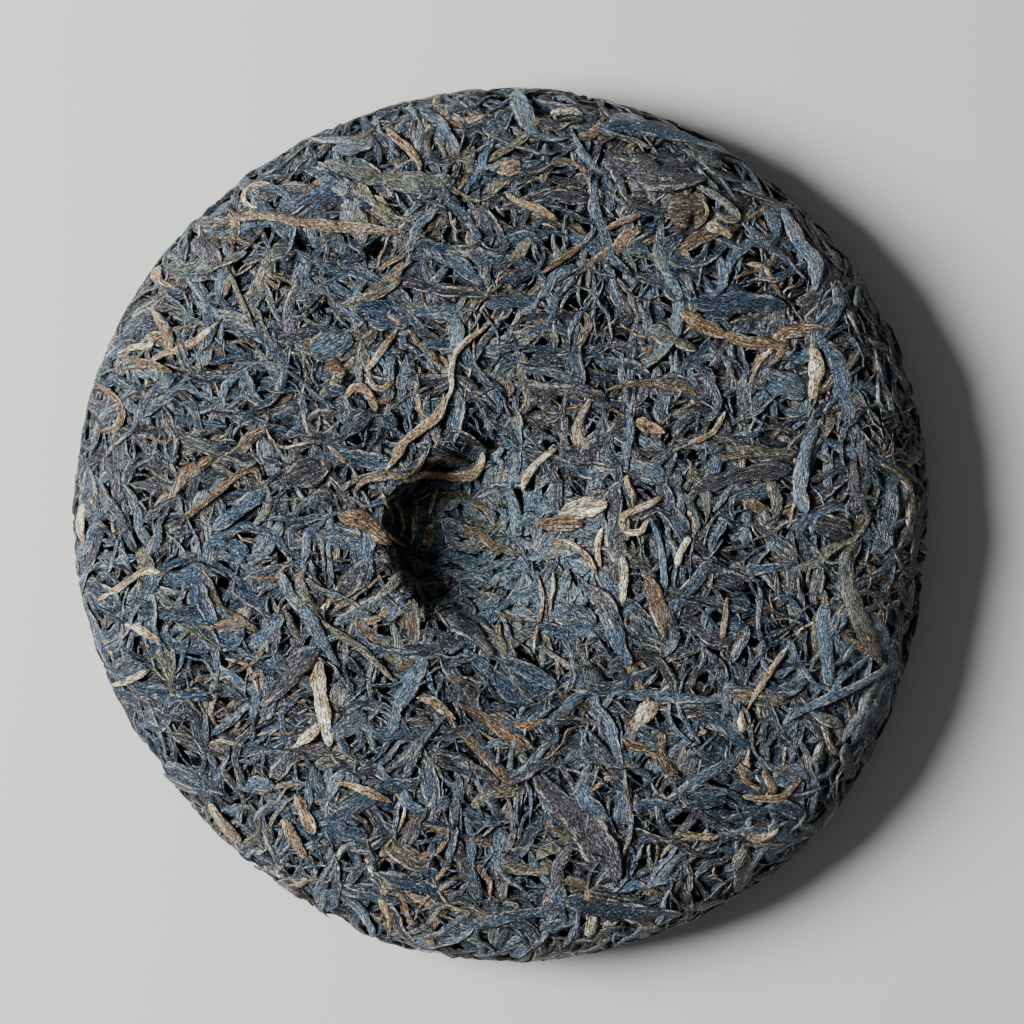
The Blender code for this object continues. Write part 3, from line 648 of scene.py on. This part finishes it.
# Half-width in millimetres, flatness, tint, height over the face, stiffness, and places along the middle
STANDING_OUT = {
    "stalk_over_hollow": (0.8, 0.8, TAN, 0.9, 0.8, [
        (487, 327), (469, 339), (455, 354), (451, 375), (452, 388), (446, 402)]),
    "stalk_lower_part": (1.2, 0.7, TAN, 1.0, 0.8, [
        (451, 390), (437, 416), (420, 430), (404, 443), (395, 460), (386, 470)]),
    "twig_beside_stalk": (0.85, 0.7, BROWN, 0.9, 0.8, [
        (430, 447), (421, 459), (408, 474), (385, 477), (364, 482), (354, 494)]),
    "twig_in_hollow": (1.5, 0.5, TAN, 0.8, 0.85, [
        (402, 480), (425, 471), (450, 473), (470, 472), (481, 463), (483, 450)]),
    "grey_strip_by_hollow": (0.7, 0.5, OLIVE, 0.5, 0.3, [(340, 492), (356, 480), (374, 475), (392, 470)]),
    "long_brown_stick": (1.4, 0.5, BROWN, 0.6, 0.4, [
        (226, 205), (240, 218), (262, 216), (320, 225), (405, 232)]),
    "rust_leaf": (1.3, 0.3, 0.9, 0.4, 0.1, [(232, 214), (235, 225), (233, 236), (231, 245)]),
    "grey_leaf": (2.5, 0.3, 0.79, 0.5, 0.2, [(325, 160), (350, 170), (385, 178), (425, 184), (452, 178)]),
    "left_curl": (0.8, 0.5, TAN, 0.6, 0.2, [(258, 208), (245, 202), (245, 191), (255, 184), (272, 184)]),
    "left_curl_leaf": (1.2, 0.3, 0.45, 0.5, 0.2, [(254, 188), (268, 187), (282, 191), (290, 202)]),
    "folded_leaf": (1.8, 0.35, 0.79, 0.4, 0.2, [(168, 274), (195, 268), (222, 261), (247, 252)]),
    "purple_leaf_left": (2.6, 0.2, PURPLE, 0.4, 0.1, [(196, 236), (202, 246), (210, 257), (218, 268)]),
    "dark_olive_twig": (0.8, 0.6, OLIVE, 0.6, 0.4, [(226, 267), (236, 288), (244, 308), (254, 328)]),
    "olive_twig": (1.2, 0.5, OLIVE, 0.6, 0.3, [(344, 305), (362, 300), (384, 292), (401, 280)]),
    "grey_flake": (3.4, 0.2, GREY, 0.4, 0.2, [(310, 352), (325, 346), (340, 340), (352, 334)]),
    "brown_bud": (1.9, 0.5, BROWN, 0.5, 0.2, [(325, 366), (332, 366), (339, 370), (346, 376)]),
    "twig_by_bud": (0.85, 0.6, TAN, 0.7, 0.3, [(398, 330), (390, 340), (383, 350), (374, 362), (365, 372)]),
    "tan_crescent": (0.8, 0.6, TAN, 0.6, 0.2, [(368, 376), (374, 386), (384, 389), (394, 380)]),
    "tan_crescent_low": (0.8, 0.6, BROWN, 0.6, 0.2, [(369, 394), (378, 401), (387, 400), (395, 392)]),
    "folded_tan_leaf": (1.1, 0.4, BROWN, 0.6, 0.2, [
        (346, 397), (355, 388), (366, 390), (372, 400), (377, 411)]),
    "thin_pale_twig": (0.5, 0.7, OLIVE, 0.6, 0.3, [(394, 407), (408, 396), (420, 391), (431, 387)]),
    "small_orange_twig": (0.7, 0.6, ORANGE, 0.5, 0.2, [(327, 445), (334, 450), (340, 456), (347, 463)]),
    "smooth_dark_leaf": (3.0, 0.15, 0.38, 0.3, 0.1, [(354, 316), (372, 314), (390, 318), (410, 324)]),
    "pale_curve": (1.4, 0.35, GREY, 0.6, 0.2, [(443, 314), (456, 322), (458, 336), (452, 347), (443, 352)]),
    "cream_twig": (1.0, 0.6, TAN, 0.6, 0.3, [(386, 128), (396, 138), (408, 148), (422, 166)]),
    "left_hook": (0.95, 0.5, 0.895, 0.6, 0.2, [
        (93, 382), (107, 391), (118, 402), (122, 416), (114, 428), (93, 431)]),
    "left_twig_high": (0.8, 0.6, TAN, 0.5, 0.2, [(116, 353), (134, 347), (150, 345), (148, 335)]),
    "left_twig_low": (0.8, 0.6, BROWN, 0.5, 0.2, [(116, 355), (135, 360), (155, 366), (172, 372)]),
    "edge_flake": (2.8, 0.3, 0.94, 0.5, 0.1, [(338, 516), (356, 520), (374, 528), (389, 545)]),
    "wall_strip_left": (0.6, 0.5, TAN, 0.6, 0.5, [(381, 490), (386, 506), (390, 521), (388, 527)]),
    "wall_strip_middle": (0.8, 0.5, TAN, 0.8, 0.5, [(392, 500), (397, 514), (399, 528), (396, 540)]),
    "wall_strip_low": (0.7, 0.5, ORANGE, 0.8, 0.5, [(384, 534), (391, 540), (397, 544), (402, 549)]),
    "wall_strip_right": (0.6, 0.5, CREAM, 0.6, 0.3, [(436, 484), (432, 500), (428, 515)]),
    "wall_strip_pale": (0.8, 0.4, CREAM, 0.5, 0.3, [(412, 496), (414, 512), (413, 528), (409, 544)]),
    "flake_in_pit": (1.2, 0.3, CREAM, 0.3, 0.1, [(430, 524), (428, 535), (426, 548)]),
    "round_flake": (3.4, 0.25, PURPLE, 0.4, 0.1, [(288, 482), (302, 474), (318, 468), (331, 464)]),
    "rim_flake": (2.0, 0.3, CREAM, 0.3, 0.1, [(80, 502), (78, 515), (78, 530), (82, 544)]),
    "grey_strip": (1.8, 0.3, SLATE, 0.5, 0.2, [(212, 530), (232, 515), (250, 502), (268, 490)]),
    "bent_stem": (0.8, 0.7, BROWN, 0.6, 0.3, [(184, 519), (215, 495), (240, 474), (255, 470), (262, 485)]),
    "top_leaf": (2.3, 0.3, GREY, 0.5, 0.1, [(512, 90), (520, 103), (526, 117), (530, 130)]),
    "cream_fleck": (1.1, 0.3, CREAM, 0.5, 0.1, [(551, 113), (562, 110), (572, 110), (583, 113)]),
    "brown_oval": (2.0, 0.4, BROWN, 0.5, 0.1, [(496, 170), (504, 168), (513, 167), (522, 166)]),
    "large_dark_leaf": (3.6, 0.2, PURPLE, 0.4, 0.1, [(602, 162), (635, 169), (670, 178), (708, 176)]),
    "leaf_by_rim": (1.5, 0.4, SLATE, 0.6, 0.2, [(598, 125), (640, 128), (690, 138), (725, 150), (748, 159)]),
    "straight_stick": (0.85, 0.7, BROWN, 0.8, 0.9, [(542, 274), (566, 256), (590, 240)]),
    "straight_stick_end": (0.9, 0.5, BROWN, 0.7, 0.9, [(605, 230), (622, 222), (641, 215)]),
    "orange_twig": (0.9, 0.6, ORANGE, 0.6, 0.4, [(505, 192), (520, 203), (538, 208), (557, 220)]),
    "round_leaf": (4.2, 0.12, 0.86, 0.2, 0.1, [(667, 213), (680, 209), (694, 207), (707, 209)]),
    "round_leaf_edge": (0.5, 0.7, TAN, 0.9, 0.1, [(700, 200), (707, 210), (704, 220), (695, 229)]),
    "loop_twig": (1.0, 0.6, OLIVE, 0.7, 0.2, [
        (694, 184), (715, 196), (734, 210), (736, 220), (724, 218), (712, 206)]),
    "yellow_fleck": (1.4, 0.3, CREAM, 0.5, 0.1, [(706, 226), (716, 228), (725, 232), (733, 238)]),
    "long_pale_leaf": (1.8, 0.4, GREY, 0.7, 0.2, [(783, 207), (799, 239), (815, 264), (815, 290)]),
    "orange_leaf": (1.9, 0.4, ORANGE, 0.7, 0.2, [(680, 312), (698, 322), (715, 330), (728, 337)]),
    "orange_leaf_tail": (1.6, 0.4, ORANGE, 0.7, 0.2, [(724, 334), (745, 342), (768, 344), (790, 349)]),
    "olive_leaf_below": (1.6, 0.35, OLIVE, 0.4, 0.2, [(649, 328), (664, 334), (682, 344), (698, 350)]),
    "big_slate_leaf": (2.7, 0.25, SLATE, 0.4, 0.2, [(687, 300), (715, 303), (750, 302), (786, 306)]),
    "cream_leaf": (1.6, 0.4, CREAM, 0.6, 0.2, [(811, 347), (816, 362), (816, 380), (812, 399)]),
    "pale_triangle": (2.6, 0.2, GREY, 0.4, 0.1, [(761, 372), (776, 380), (792, 388), (808, 392)]),
    "purple_leaf": (2.1, 0.3, PURPLE, 0.6, 0.2, [(694, 490), (725, 480), (760, 472), (792, 469)]),
    "golden_loop": (0.9, 0.6, TAN, 0.7, 0.2, [
        (662, 497), (640, 508), (624, 516), (626, 530), (640, 532), (648, 520)]),
    "tan_twig_right": (0.8, 0.6, TAN, 0.6, 0.3, [(627, 475), (628, 485), (633, 495), (633, 507)]),
    "tan_twig_high": (0.75, 0.7, TAN, 0.6, 0.3, [(688, 443), (703, 438), (715, 430), (725, 411)]),
    "orange_tip": (1.3, 0.4, ORANGE, 0.5, 0.2, [(636, 420), (648, 426), (665, 433)]),
    "upright_leaf": (1.9, 0.4, GREY, 0.7, 0.2, [(818, 427), (808, 445), (802, 470), (800, 492), (806, 513)]),
    "whitish_flake": (2.7, 0.12, 1.0, 0.8, 0.1, [(562, 512), (575, 509), (592, 506), (608, 502)]),
    "cream_twig_in_hollow": (1.0, 0.6, 0.975, 0.6, 0.4, [
        (557, 449), (545, 456), (535, 465), (526, 476), (522, 489)]),
    "cream_curve": (0.8, 0.6, CREAM, 0.5, 0.2, [(553, 544), (566, 543), (578, 548), (590, 560), (598, 576)]),
    "tan_upright": (0.8, 0.6, TAN, 0.5, 0.2, [(604, 526), (600, 540), (599, 554), (601, 568)]),
    "cream_upright": (1.0, 0.5, CREAM, 0.5, 0.2, [(623, 556), (626, 572), (624, 588), (622, 604)]),
    "cream_short": (0.9, 0.5, CREAM, 0.5, 0.2, [(690, 537), (684, 546), (679, 556), (677, 566)]),
    "yellow_stem": (0.5, 0.8, 0.975, 0.5, 0.3, [(538, 575), (544, 596), (542, 614), (537, 634), (534, 653)]),
    "yellow_stem_short": (0.6, 0.8, 0.975, 0.6, 0.3, [(554, 573), (555, 588), (552, 600), (552, 613)]),
    "dark_leaf_at_foot": (2.4, 0.25, 0.15, 0.6, 0.1, [(446, 618), (460, 628), (476, 638), (496, 656)]),
    # Painted shade: a near-black leaf on the hollow's top wall, for the shade under the stalk's overhang
    "painted_shade_leaf_at_top": (1.6, 0.25, 0.12, 0.3, 0.1, [(436, 438), (450, 436), (466, 438), (486, 448)]),
    "brown_leaf_on_wall": (1.3, 0.3, 0.9, 0.5, 0.3, [(424, 460), (438, 456), (452, 458), (466, 460)]),
    "leaf_over_lip": (1.5, 0.35, 0.84, 0.4, 0.2, [
        (372, 604), (388, 590), (404, 578), (418, 592), (424, 622)]),
    "long_slate_leaf": (1.4, 0.2, 0.5, 0.5, 0.3, [(666, 801), (690, 785), (715, 770), (736, 755)]),
    "dark_blue_leaf": (1.9, 0.2, 0.36, 0.5, 0.1, [(708, 710), (722, 722), (735, 736), (748, 749)]),
    "olive_leaf_right": (2.0, 0.25, OLIVE, 0.4, 0.1, [(724, 694), (745, 694), (765, 700), (786, 697)]),
    "golden_flake": (1.4, 0.25, 0.965, 0.4, 0.1, [(740, 834), (752, 838), (765, 836), (779, 828)]),
    "rust_strip": (0.9, 0.4, 0.92, 0.4, 0.1, [(676, 831), (690, 835), (706, 837), (723, 836)]),
    "grey_patch": (2.6, 0.15, 0.3, 0.3, 0.1, [(769, 812), (780, 810), (790, 813), (801, 818)]),
    "orange_flake": (1.3, 0.3, 0.95, 0.5, 0.1, [(763, 770), (768, 778), (772, 786), (776, 794)]),
    "dark_strand": (0.5, 0.7, 0.6, 0.7, 0.2, [(683, 680), (678, 698), (681, 714), (690, 728), (700, 743)]),
    "dark_strand_left": (0.5, 0.7, 0.6, 0.7, 0.2, [
        (670, 700), (669, 714), (674, 727), (683, 736), (692, 744)]),
    "wavy_strand": (0.6, 0.6, OLIVE, 0.6, 0.2, [(625, 769), (626, 790), (631, 812), (630, 834), (621, 859)]),
    "wide_blue_leaf": (2.0, 0.3, SLATE, 0.6, 0.2, [(604, 610), (612, 628), (620, 646), (629, 666)]),
    "brown_leaf": (2.3, 0.3, BROWN, 0.4, 0.2, [(648, 576), (654, 596), (661, 618), (668, 640)]),
    "pink_twig": (0.8, 0.6, BROWN, 0.5, 0.3, [(727, 597), (726, 612), (724, 626), (722, 641)]),
    "broad_olive_leaf": (2.5, 0.3, OLIVE, 0.6, 0.2, [
        (862, 541), (846, 556), (848, 580), (855, 610), (868, 638), (882, 665)]),
    "purple_brown_leaf": (2.6, 0.25, PURPLE, 0.4, 0.1, [(812, 524), (826, 526), (838, 530), (850, 534)]),
    "cream_stem": (0.85, 0.7, TAN, 0.7, 0.5, [(786, 648), (776, 662), (765, 680), (756, 694), (748, 708)]),
    "diagonal_leaf": (1.1, 0.6, GREY, 0.8, 0.6, [(789, 719), (812, 706), (850, 690), (891, 667)]),
    "bluish_white_leaf": (2.1, 0.25, CREAM, 0.4, 0.1, [(633, 730), (640, 720), (648, 710), (656, 700)]),
    "small_brown_leaf": (1.6, 0.35, BROWN, 0.4, 0.2, [(662, 732), (660, 746), (666, 762), (678, 776)]),
    "midrib_leaf": (4.3, 0.15, PURPLE, 0.5, 0.1, [
        (535, 775), (556, 793), (580, 818), (600, 848), (618, 880)]),
    "bottom_dark_leaf": (2.4, 0.3, DARK, 0.5, 0.2, [(560, 900), (600, 908), (640, 914), (684, 915)]),
    "cream_curve_low": (0.9, 0.6, TAN, 0.6, 0.3, [(742, 796), (762, 799), (782, 797), (802, 780)]),
    "brown_flake_low": (1.7, 0.3, BROWN, 0.4, 0.1, [(735, 866), (740, 860), (744, 854), (748, 847)]),
    "long_blue_leaf": (1.6, 0.4, GREY, 0.7, 0.2, [
        (280, 572), (292, 596), (309, 617), (322, 640), (337, 665)]),
    "olive_stem": (0.95, 0.7, OLIVE, 0.6, 0.4, [(321, 620), (342, 636), (366, 652), (395, 681)]),
    "tan_bud": (1.6, 0.5, 0.983, 0.7, 0.2, [(321, 660), (319, 680), (322, 702), (326, 722), (330, 746)]),
    "tan_bud_arm": (1.1, 0.5, TAN, 0.6, 0.2, [(290, 748), (300, 742), (310, 735), (322, 722)]),
    "pale_olive_leaf": (2.2, 0.3, GREY, 0.5, 0.2, [(331, 738), (342, 730), (354, 722), (366, 714)]),
    "purple_dark_leaf": (1.9, 0.35, PURPLE, 0.5, 0.2, [(261, 706), (282, 688), (302, 668), (321, 649)]),
    "orange_leaf_low": (1.5, 0.4, ORANGE, 0.5, 0.2, [(296, 796), (302, 808), (308, 820), (314, 834)]),
    "orange_leaf_lower": (1.7, 0.4, BROWN, 0.5, 0.2, [(284, 820), (290, 832), (298, 846), (306, 859)]),
    "orange_leaf_left": (2.0, 0.3, ORANGE, 0.5, 0.2, [(208, 804), (216, 817), (226, 830), (240, 844)]),
    "orange_twig_low": (0.9, 0.6, ORANGE, 0.6, 0.4, [(334, 780), (354, 786), (374, 794), (392, 802)]),
    "left_stem": (0.9, 0.6, TAN, 0.5, 0.3, [(97, 600), (115, 590), (130, 580), (146, 571), (166, 575)]),
    "left_stem_low": (0.9, 0.6, TAN, 0.5, 0.3, [(124, 624), (136, 628), (148, 634), (160, 641)]),
    "cream_stem_left": (0.9, 0.5, CREAM, 0.5, 0.2, [(108, 686), (120, 684), (134, 678), (149, 670)]),
    "grey_leaf_foot": (1.9, 0.35, GREY, 0.5, 0.2, [(503, 659), (520, 666), (538, 676), (557, 688)]),
    "bright_tan": (1.2, 0.5, TAN, 0.5, 0.2, [(417, 697), (430, 700), (442, 708), (455, 719)]),
}


def standing_out_tree():
    """Tubes along drawn lines, dropped on the face and shaped as leaves."""
    tree, given, result = tree_with_inputs("leaves_that_stand_out", (("Level", 1.1), ("Squash", 0.35)))
    tree.interface.new_socket("Face", in_out="INPUT", socket_type="NodeSocketObject")
    given = {socket.name: socket for socket in given.outputs if socket.name}
    face_shape = add_node(tree, "GeometryNodeObjectInfo", {"Object": given["Face"]}).outputs["Geometry"]
    lines = out(add_node(tree, "GeometryNodeMeshToCurve", {"Mesh": given["Geometry"]}))
    lines = out(add_node(tree, "GeometryNodeCurveSplineType", {"Curve": lines}, spline_type="CATMULL_ROM"))
    lines = out(add_node(tree, "GeometryNodeResampleCurve", {"Curve": lines, "Count": given["Sections"]}))
    share = add_node(tree, "GeometryNodeSplineParameter").outputs["Factor"]
    reach = add_node(tree, "GeometryNodeSplineLength").outputs["Length"]
    lines = store(tree, lines, "along", less(tree, share, 0.5))
    lines = store(tree, lines, "length", reach)
    lines = store(tree, lines, "heading", out(add_node(tree, "GeometryNodeInputTangent")), "FLOAT_VECTOR")
    here = out(add_node(tree, "GeometryNodeInputPosition"))
    across = out(add_node(tree, "GeometryNodeInputNormal"))
    down = add_node(tree, "GeometryNodeRaycast", {
        "Target Geometry": face_shape, "Attribute": across, "Source Position": here,
        "Ray Direction": (0, 0, -1), "Ray Length": 1.0}, data_type="FLOAT_VECTOR")
    near = add_node(tree, "GeometryNodeSampleNearestSurface", {
        "Mesh": face_shape, "Value": here, "Sample Position": here}, data_type="FLOAT_VECTOR")
    found = add_node(tree, "GeometryNodeSwitch", {
        "Switch": down.outputs["Is Hit"], "False": out(near, "Value"), "True": down.outputs["Hit Position"]},
        input_type="VECTOR")
    lines = store(tree, lines, "spot", out(found), "FLOAT_VECTOR")
    # A stiff leaf bridges dips of the face, as far as its own height eased along it stands over them
    parts = add_node(tree, "ShaderNodeSeparateXYZ", {"Vector": named(tree, "spot", "FLOAT_VECTOR")})
    eased = add_node(tree, "GeometryNodeBlurAttribute", {"Value": out(parts, "Z"), "Iterations": 40})
    bridged = calc(tree, "MAXIMUM", less(tree, out(eased), out(parts, "Z")), 0.0)
    lifted = plus(tree, out(parts, "Z"), times(tree, named(tree, "stiffness"), bridged))
    raised = combined(tree, out(parts, "X"), out(parts, "Y"), lifted)
    lines = store(tree, lines, "spot", raised, "FLOAT_VECTOR")
    lines = store(tree, lines, "out of face", down.outputs["Attribute"], "FLOAT_VECTOR")
    ring = add_node(tree, "GeometryNodeCurvePrimitiveCircle", {"Resolution": given["Around"], "Radius": 1.0})
    axes = add_node(tree, "ShaderNodeSeparateXYZ", {"Vector": here})
    ring = store(tree, store(tree, ring.outputs[0], "ring x", out(axes, "X")), "ring y", out(axes, "Y"))
    tubes = add_node(tree, "GeometryNodeCurveToMesh", {
        "Curve": lines, "Profile Curve": ring, "Fill Caps": True})
    own = ("length", "half width", "flatness", "twist", "phase", "lift", "tint", "seed", "gutter", "ring x",
           "ring y", "along", "tilt")
    at = {name: named(tree, name) for name in own}
    at["level"], at["squash"] = times(tree, given["Level"], MM), given["Squash"]
    outwards = vector(tree, "NORMALIZE", named(tree, "out of face", "FLOAT_VECTOR"))
    shaped = shape_leaf(tree, tubes.outputs[0], named(tree, "heading", "FLOAT_VECTOR"), outwards,
                        named(tree, "spot", "FLOAT_VECTOR"), at)
    finished = add_node(tree, "GeometryNodeSetMaterial", {"Geometry": shaped, "Material": given["Material"]})
    tree.links.new(finished.outputs[0], result.inputs[0])
    return tree


def under_pixel(px, py, z):
    """The place at this height in millimetres that the picture shows at this pixel."""
    size = PIXEL * (EYE.z - z) / (EYE.z - WIDEST)
    return EYE.x + (px - PICTURE / 2) * size, EYE.y + (PICTURE / 2 - py) * size


def lay_standing_out(name, around, sections):
    """Draws a line over the face for each listed leaf, and makes them all leaves."""
    lines = bpy.data.meshes.new("drawn_lines")
    draw = np.random.default_rng(11)
    points, edges, values = [], [], []
    for half_width, flatness, tint, lift, stiffness, pixels in STANDING_OUT.values():
        own = {"half width": half_width * MM, "flatness": flatness, "tint": tint, "lift": lift * MM,
               "stiffness": stiffness, "twist": draw.uniform(-1.5, 1.5), "phase": draw.uniform(-0.3, 0.3),
               "seed": draw.uniform(0, 500), "gutter": draw.uniform(-0.4, 0.4), "tilt": 0.0}
        for k, (px, py) in enumerate(pixels):
            if k:
                edges.append((len(points) - 1, len(points)))
            points.append(Vector((*under_pixel(px, py, HEIGHT), 2 * HEIGHT)) * MM)
            values.append(own)
    lines.from_pydata(points, edges, [])
    for key in values[0]:
        give(lines, key, [own[key] for own in values])
    drawn = bpy.data.objects.new("drawn_lines", lines)
    bpy.context.scene.collection.objects.link(drawn)
    wanted = {"Around": around, "Sections": sections, "Face": guide, "Material": leaf_look}
    leaves_from(drawn, name, standing_out_tree(), wanted)
    bpy.data.objects.remove(drawn)


lay_standing_out("leaves_that_stand_out", 14, 30)
bpy.data.objects.remove(guide)

# The table, the light and the camera
# A pale level table, one soft lamp low at the left and a weak even light, seen from straight above.

TABLE_SIDE, TABLE_SHADE, TABLE_ROUGHNESS = 6, (0.56, 0.53, 0.49, 1), 0.9
bpy.ops.mesh.primitive_plane_add(size=TABLE_SIDE)
table = bpy.context.object
table.name = "table"
table_look = bpy.data.materials.new("table")
table_look.use_nodes = True
table_surface = table_look.node_tree.nodes["Principled BSDF"]
table_surface.inputs["Base Color"].default_value = TABLE_SHADE
table_surface.inputs["Roughness"].default_value = TABLE_ROUGHNESS
table.data.materials.append(table_look)

LAMP_WIDTH, LAMP_POWER, LAMP_SHADE = 0.7, 63.0, (0.905, 0.96, 1.0)
LAMP_AWAY, LAMP_SIDE, LAMP_RISE = 1.3, math.radians(174), math.radians(34)
lamp = bpy.data.lights.new("window", "AREA")
lamp.shape, lamp.size, lamp.energy, lamp.color = "DISK", LAMP_WIDTH, LAMP_POWER, LAMP_SHADE
window = bpy.data.objects.new("window", lamp)
window.location = LAMP_AWAY * Vector((math.cos(LAMP_SIDE) * math.cos(LAMP_RISE),
                                      math.sin(LAMP_SIDE) * math.cos(LAMP_RISE), math.sin(LAMP_RISE)))
window.rotation_euler = (-window.location).to_track_quat("-Z", "Y").to_euler()
bpy.context.scene.collection.objects.link(window)

EVEN_SHADE, EVEN_STRENGTH = (0.84, 0.91, 1.0, 1), 0.14
world = bpy.data.worlds.new("even_light")
world.use_nodes = True
world.node_tree.nodes["Background"].inputs["Color"].default_value = EVEN_SHADE
world.node_tree.nodes["Background"].inputs["Strength"].default_value = EVEN_STRENGTH
bpy.context.scene.world = world

camera_data = bpy.data.cameras.new("camera")
camera = bpy.data.objects.new("camera", camera_data)
camera.location = EYE * MM
camera_data.angle = 2 * math.atan(PICTURE / 2 * PIXEL / (EYE.z - WIDEST))
bpy.context.scene.collection.objects.link(camera)
bpy.context.scene.camera = camera
